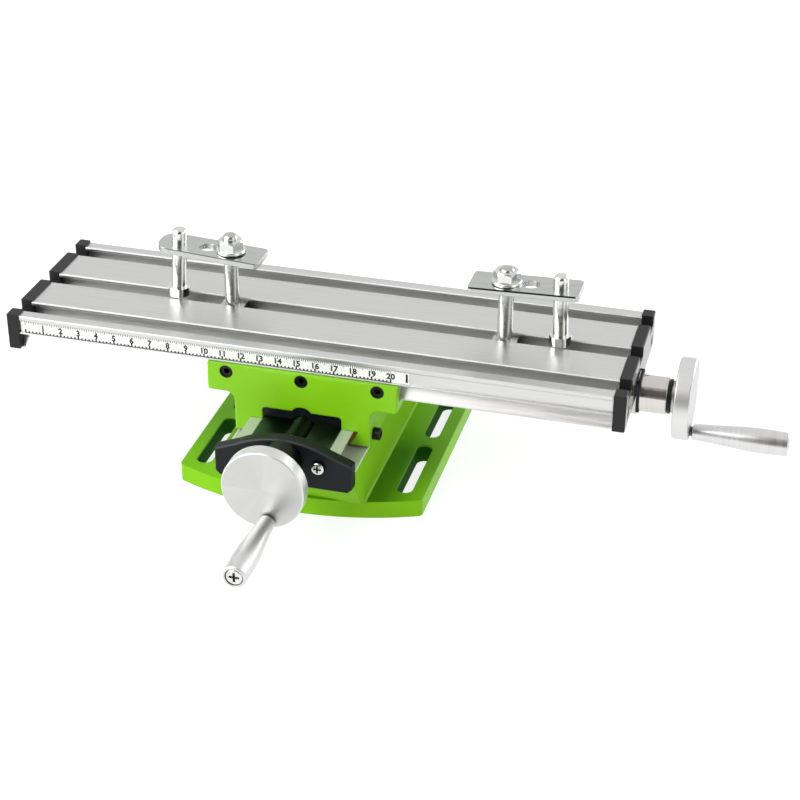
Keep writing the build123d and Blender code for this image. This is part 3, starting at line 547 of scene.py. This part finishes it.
# Turned aluminium of the handwheels, with rings about the wheel's axis and the fan of light that they give,
# a painted reflection of that fan in the colour and a painted highlight on the rim
wheelSettings = {
    "color": (0.6, 0.6, 0.595),
    "painted rim highlight": (0.73, 0.73, 0.725),
    "rim width": 0.7 * mm,
    "roughness": 0.38,
    "rings": 2600.0,
    "tone": 0.05,
    "spread": 0.03,
    "depth": 0.001 * mm,
    "edge": 0.5 * mm,
    "fan": 0.25,
    "painted fan sectors": 1.1,
}


def buildWheelMetal(name, node, axis, s):
    material, tree, shader = startMaterial(name, s["color"], s["roughness"], 1.0)
    low, high = (Vector(corner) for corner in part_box(node))
    middle = (low + high) / 2
    flat = Vector((1, 1, 1))
    flat["XYZ".index(axis)] = 0
    where = tree.nodes.new("ShaderNodeTexCoord")
    mapping = tree.nodes.new("ShaderNodeMapping")
    mapping.inputs["Location"].default_value = [-m * f for m, f in zip(middle, flat)]
    mapping.inputs["Scale"].default_value = flat
    away = tree.nodes.new("ShaderNodeVectorMath")
    away.operation = "LENGTH"
    rings = tree.nodes.new("ShaderNodeTexNoise")
    rings.noise_dimensions = "1D"
    rings.inputs["Scale"].default_value = s["rings"]
    tree.links.new(where.outputs["Object"], mapping.inputs["Vector"])
    tree.links.new(mapping.outputs[0], away.inputs[0])
    tree.links.new(away.outputs["Value"], rings.inputs["W"])
    varyRoughness(tree, rings.outputs["Fac"], shader, s["roughness"], s["spread"])
    split = tree.nodes.new("ShaderNodeSeparateXYZ")
    tree.links.new(mapping.outputs[0], split.inputs[0])
    sideways = split.outputs["Y" if axis == "X" else "X"]
    angle = mathNode(tree, "ARCTAN2", split.outputs["Z"], sideways)
    # Painted reflection: faint light and dark sectors in the colour around the axis
    fan = tree.nodes.new("ShaderNodeTexNoise")
    fan.noise_dimensions = "1D"
    fan.inputs["Scale"].default_value = s["painted fan sectors"]
    tree.links.new(angle, fan.inputs["W"])
    varyTone(tree, fan.outputs["Fac"], shader, s["color"], s["tone"])
    # Painted highlight on the rim
    rim = mathNode(tree, "GREATER_THAN", away.outputs["Value"], (high.z - low.z) / 2 - s["rim width"])
    overlay(tree, shader, "Base Color", rim, s["painted rim highlight"])
    addBump(tree, rings.outputs["Fac"], shader, s["depth"], s["edge"])
    tangent = tree.nodes.new("ShaderNodeTangent")
    tangent.direction_type = "RADIAL"
    tangent.axis = axis
    tree.links.new(tangent.outputs[0], shader.inputs["Tangent"])
    shader.inputs["Anisotropic"].default_value = s["fan"]
    return material


wheelMetalX = buildWheelMetal("turned_wheel_x", "x_handwheel", "X", wheelSettings)
wheelMetalY = buildWheelMetal("turned_wheel_y", "y_handwheel", "Y", wheelSettings)


def darkRecess(material, s):
    # The driver's recess and the shadow under the head, by the distance behind the head's face
    tree = material.node_tree
    depth = mathNode(tree, "SUBTRACT", absoluteNode(tree, coordinates(tree)[s["axis"]]), s["face"])
    behind = mathNode(tree, "LESS_THAN", depth, -s["rim"])
    overlay(tree, tree.nodes["Principled BSDF"], "Base Color", behind, s["recess color"])


# Bright zinc plate on the clamp bolts, near black below the slot's roof where the head sits
boltSettings = {"color": (0.52, 0.53, 0.51), "roughness": 0.24, "grain": 500.0, "run": evenly,
                "depth": 0.002 * mm, "head color": (0.03, 0.03, 0.03), "head top": 77.7 * mm}


def buildBoltMetal(s):
    material = buildMetal("clamp_bolt_zinc", s)
    tree = material.node_tree
    low = mathNode(tree, "LESS_THAN", coordinates(tree)["Z"], s["head top"])
    overlay(tree, tree.nodes["Principled BSDF"], "Base Color", low, s["head color"])
    return material


clampBoltZinc = buildBoltMetal(boltSettings)

# The other metals. Where a mask needs the place of one piece, that piece has a metal of its own.
screwZinc = {"color": (0.74, 0.75, 0.73), "roughness": 0.2, "grain": 500.0, "run": evenly}
strapZinc = {"color": (0.54, 0.55, 0.54), "roughness": 0.26, "grain": 260.0, "run": alongX, "edge": 0.45 * mm}
handleSteel = {"color": (0.7, 0.7, 0.7), "grain": 1200.0, "depth": 0.001 * mm, "spread": 0.03,
               "edge": 0.5 * mm}
metals = {
    "zinc_plate": dict(screwZinc, roughness=0.16, depth=0.002 * mm),
    "left_strap_zinc": strapZinc,
    "right_strap_zinc": strapZinc,
    "bracket_screw_zinc": screwZinc,
    "handle_bolt_x": screwZinc,
    "handle_bolt_y": screwZinc,
    "handle_steel_x": dict(handleSteel, roughness=0.3, run=aroundX),
    "handle_steel_y": dict(handleSteel, roughness=0.38, run=aroundY),
    "polished_steel": {"color": (0.66, 0.64, 0.615), "roughness": 0.12, "grain": 900.0, "run": aroundX,
                       "depth": 0.001 * mm, "spread": 0.03, "edge": 0.5 * mm},
    "black_oxide": {"color": (0.03, 0.03, 0.033), "roughness": 0.34, "grain": 900.0, "run": evenly},
    "milled_block": {"color": (0.6, 0.6, 0.595), "roughness": 0.34, "grain": 1100.0, "run": alongY},
    "screw_steel_x": {"color": (0.5, 0.49, 0.47), "roughness": 0.24, "grain": 700.0, "run": evenly},
    # The Y lead screw's near black, green cast colour is painted shade of the channel it runs in
    "shaded_screw_y": {"color": (0.015, 0.03, 0.011), "roughness": 0.3, "grain": 700.0, "run": evenly},
    "gib_steel": {"color": (0.45, 0.44, 0.42), "roughness": 0.3, "grain": 900.0, "run": alongX},
    "gib_bronze": {"color": (0.42, 0.17, 0.07), "roughness": 0.35, "grain": 900.0, "run": alongY},
    "nut_brass": {"color": (0.7, 0.5, 0.2), "roughness": 0.33, "grain": 900.0, "run": evenly},
}
metal = {name: buildMetal(name, settings) for name, settings in metals.items()}
leadScrewX = addThread(metal["screw_steel_x"], {"axis": "X", "pitch": 2 * mm, "depth": 0.9 * mm})
leadScrewY = addThread(metal["shaded_screw_y"], {"axis": "Y", "pitch": 2 * mm, "depth": 0.3 * mm})


def screwFace(node, axis):
    low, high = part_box(node)
    at = "XYZ".index(axis)
    return max(abs(low[at]), abs(high[at]))


recessColor = (0.07, 0.07, 0.07)
for name, node, axis, rim in (("bracket_screw_zinc", "bracket_screws", "Y", 0.45 * mm),
                              ("handle_bolt_x", "x_handle_bolt", "X", 0.4 * mm),
                              ("handle_bolt_y", "y_handle_bolt", "Y", 0.4 * mm)):
    face = screwFace(node, axis)
    darkRecess(metal[name], {"axis": axis, "face": face, "rim": rim, "recess color": recessColor})


def toneFrontEdge(material, s):
    # Gives the upper front edge its own tone. The bevel's normal tells where that edge is.
    tree = material.node_tree
    bevel = tree.nodes.new("ShaderNodeBevel")
    bevel.samples = bevelSamples
    bevel.inputs["Radius"].default_value = s["reach"]
    own = tree.nodes.new("ShaderNodeVectorTransform")
    own.vector_type = "NORMAL"
    own.convert_from = "WORLD"
    own.convert_to = "OBJECT"
    toward = tree.nodes.new("ShaderNodeVectorMath")
    toward.operation = "DOT_PRODUCT"
    toward.inputs[1].default_value = Vector(s["toward"]).normalized()
    tree.links.new(bevel.outputs[0], own.inputs[0])
    tree.links.new(own.outputs[0], toward.inputs[0])
    edge = rangeNode(tree, toward.outputs["Value"], s["start"], s["full"], 0, 1)
    overlay(tree, tree.nodes["Principled BSDF"], "Base Color", edge, s["color"])


# A face looks squarely one way when its normal's part along that way is over this
squarely = 0.9


def nearFace(tree, mesh, toward, within):
    # A mask for what lies close behind the largest face that looks one way
    facing = [face for face in mesh.polygons if face.normal.dot(Vector(toward)) > squarely]
    normal = max(facing, key=lambda face: face.area).normal
    edge = max(vertex.co.dot(normal) for vertex in mesh.vertices)
    where = tree.nodes.new("ShaderNodeTexCoord")
    along = tree.nodes.new("ShaderNodeVectorMath")
    along.operation = "DOT_PRODUCT"
    along.inputs[1].default_value = normal
    tree.links.new(where.outputs["Object"], along.inputs[0])
    return mathNode(tree, "GREATER_THAN", along.outputs["Value"], edge - within)


def darkenShearedEdge(material, node, s):
    # A strap is darker along the upper part of its long front face
    tree = material.node_tree
    mesh = nodes[node].data
    front = nearFace(tree, mesh, (0, -1, 0), s["back"])
    top = nearFace(tree, mesh, (0, 0, 1), s["down"])
    overlay(tree, tree.nodes["Principled BSDF"], "Base Color", allNode(tree, front, top), s["color"])


darkenShearedEdge(metal["left_strap_zinc"], "left_strap",
                  {"back": 0.35 * mm, "down": 0.4 * mm, "color": (0.12, 0.12, 0.12)})
darkenShearedEdge(metal["right_strap_zinc"], "right_strap",
                  {"back": 0.5 * mm, "down": 0.8 * mm, "color": (0.015, 0.015, 0.015)})

plastics = {
    "bracket_enamel": {"color": (0.007, 0.009, 0.011), "roughness": 0.34, "grain": 700.0,
                       "depth": 0.012 * mm, "edge": 0.7 * mm, "gloss": 0.2},
    "cap_plastic": {"color": (0.013, 0.013, 0.0135), "roughness": 0.42, "edge": 0.5 * mm, "gloss": 0.25},
    "guard_rubber": {"color": (0.007, 0.008, 0.01), "roughness": 0.3, "grain": 160.0, "depth": 0.3 * mm},
    "ring_plastic": {"color": (0.008, 0.008, 0.008), "roughness": 0.4, "gloss": 0.25},
    "rule_foil": {"color": (0.84, 0.84, 0.82), "roughness": 0.35, "grain": 600.0, "depth": 0.003 * mm,
                  "edge": 0.05 * mm, "gloss": 0.4},
    "rule_ink": {"color": (0.01, 0.01, 0.014), "roughness": 0.45, "grain": 2500.0, "depth": 0.002 * mm,
                 "edge": 0.02 * mm},
}
plastic = {name: buildPlastic(name, settings) for name, settings in plastics.items()}

# The enamel is rubbed grey along the bracket's upper front edge
rubbedEdge = {"toward": (0, -1, 1), "reach": 0.9 * mm, "start": 0.78, "full": 0.95,
              "color": (0.04, 0.044, 0.044)}
toneFrontEdge(plastic["bracket_enamel"], rubbedEdge)


def polishEnd(material, roughness):
    # The moulded cap is smooth on its outer end face
    tree = material.node_tree
    outward = mathNode(tree, "GREATER_THAN", coordinates(tree, "Normal")["X"], squarely)
    overlay(tree, tree.nodes["Principled BSDF"], "Roughness", outward, roughness)


polishEnd(plastic["cap_plastic"], roughness=0.1)
print("finishes ready")

finishes = {
    "base_casting": basePaint,
    "saddle_casting": saddlePaint,
    "table_extrusion": tableMetal,
    "y_bearing_bracket": plastic["bracket_enamel"],
    "y_bearing_sleeve": metal["black_oxide"],
    "x_flange_plate": metal["black_oxide"],
    "x_gib_screws": metal["black_oxide"],
    "y_gib_screws": metal["black_oxide"],
    "end_cap_screws": metal["black_oxide"],
    "x_grub_screw": metal["black_oxide"],
    "y_grub_screw": metal["black_oxide"],
    "x_dial_ring": plastic["ring_plastic"],
    "y_dial_ring": plastic["ring_plastic"],
    "left_end_cap": plastic["cap_plastic"],
    "right_end_cap": plastic["cap_plastic"],
    "dust_guard": plastic["guard_rubber"],
    "x_handwheel": wheelMetalX,
    "y_handwheel": wheelMetalY,
    "bracket_screws": metal["bracket_screw_zinc"],
    "x_handle_bolt": metal["handle_bolt_x"],
    "y_handle_bolt": metal["handle_bolt_y"],
    "x_crank_handle": metal["handle_steel_x"],
    "y_crank_handle": metal["handle_steel_y"],
    "left_bearing_block": metal["milled_block"],
    "right_bearing_block": metal["milled_block"],
    "x_bearing_sleeve": metal["polished_steel"],
    "x_lead_screw": leadScrewX,
    "y_lead_screw": leadScrewY,
    "x_gib": metal["gib_steel"],
    "y_gib": metal["gib_bronze"],
    "x_nut_block": metal["nut_brass"],
    "y_nut_block": metal["nut_brass"],
    "rule_strip": plastic["rule_foil"],
    "left_t_bolt": clampBoltZinc,
    "right_t_bolt": clampBoltZinc,
    "left_strap": metal["left_strap_zinc"],
    "right_strap": metal["right_strap_zinc"],
}
for node, piece in nodes.items():
    piece.data.materials.clear()
    piece.data.materials.append(finishes.get(node, metal["zinc_plate"]))
print("finishes given to", len(nodes), "nodes")

# Printed rule: fine millimetre marks along the top, bold ones every 2 mm along the bottom, plain numbers
ruleSettings = {
    "zero inset": 2.5 * mm,
    "centimetres": 20,
    "marks in each": 10,
    "fine length": (1.1 * mm, 1.6 * mm, 2.1 * mm),
    "fine width": 0.3 * mm,
    "bold every": 2,
    "bold length": (1.1 * mm, 2.0 * mm),
    "bold width": 0.85 * mm,
    "border": 0.35 * mm,
    "number size": 4.4 * mm,
    "number weight": 0.17 * mm,
    "number height": 0.5,
    "number steps": 3,
    "end bar": (1.1 * mm, 4.8 * mm),
    "end bar lift": 1.0 * mm,
    "ink": 0.04 * mm,
}


def addBar(form, x, width, low, high, face, ink):
    corners = []
    for y in (face, face - ink):
        for px, pz in ((-0.5, low), (0.5, low), (0.5, high), (-0.5, high)):
            corners.append(form.verts.new((x + px * width, y, pz)))
    back, front = corners[:4], corners[4:]
    form.faces.new(front)
    for i in range(4):
        j = (i + 1) % 4
        form.faces.new((back[i], back[j], front[j], front[i]))


def addNumber(form, text, x, z, face, s):
    curve = bpy.data.curves.new("number", "FONT")
    curve.body = text
    curve.size = s["number size"]
    curve.align_x = "CENTER"
    curve.align_y = "CENTER"
    curve.extrude = s["ink"]
    curve.offset = s["number weight"]
    curve.resolution_u = s["number steps"]
    words = bpy.data.objects.new("number", curve)
    bpy.context.scene.collection.objects.link(words)
    bpy.context.view_layer.update()
    shape = bpy.data.meshes.new_from_object(words.evaluated_get(bpy.context.evaluated_depsgraph_get()))
    shape.transform(Matrix.Translation((x, face, z)) @ Matrix.Rotation(radians(90), 4, "X"))
    form.from_mesh(shape)
    bpy.data.objects.remove(words)
    bpy.data.curves.remove(curve)
    bpy.data.meshes.remove(shape)


def buildRule(s):
    low, high = (Vector(corner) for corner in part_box("rule_strip"))
    face = low.y
    zero = low.x + s["zero inset"]
    form = bmesh.new()
    whole = s["marks in each"]
    half = whole // 2
    steps = whole * s["centimetres"]
    for step in range(steps + 1):
        x = zero + step * mm
        kind = 2 if step % whole == 0 else 1 if step % half == 0 else 0
        addBar(form, x, s["fine width"], high.z - s["fine length"][kind], high.z, face, s["ink"])
        if step % s["bold every"] == 0:
            tall = s["bold length"][step % whole == 0]
            addBar(form, x, s["bold width"], low.z, low.z + tall, face, s["ink"])
    length = steps * mm
    addBar(form, zero + length / 2, length, low.z, low.z + s["border"], face, s["ink"] / 2)
    wide, tall = s["end bar"]
    foot = low.z + s["end bar lift"]
    addBar(form, high.x - wide, wide, foot, foot + tall, face, s["ink"])
    middle = low.z + s["number height"] * (high.z - low.z)
    for count in range(1, s["centimetres"] + 1):
        addNumber(form, str(count), zero + whole * count * mm, middle, face, s)
    mesh = bpy.data.meshes.new("rule_marks")
    form.to_mesh(mesh)
    form.free()
    marks = bpy.data.objects.new("rule_marks", mesh)
    bpy.context.scene.collection.objects.link(marks)
    mesh.materials.append(plastic["rule_ink"])
    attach(marks, "table")


buildRule(ruleSettings)
print("rule printed")
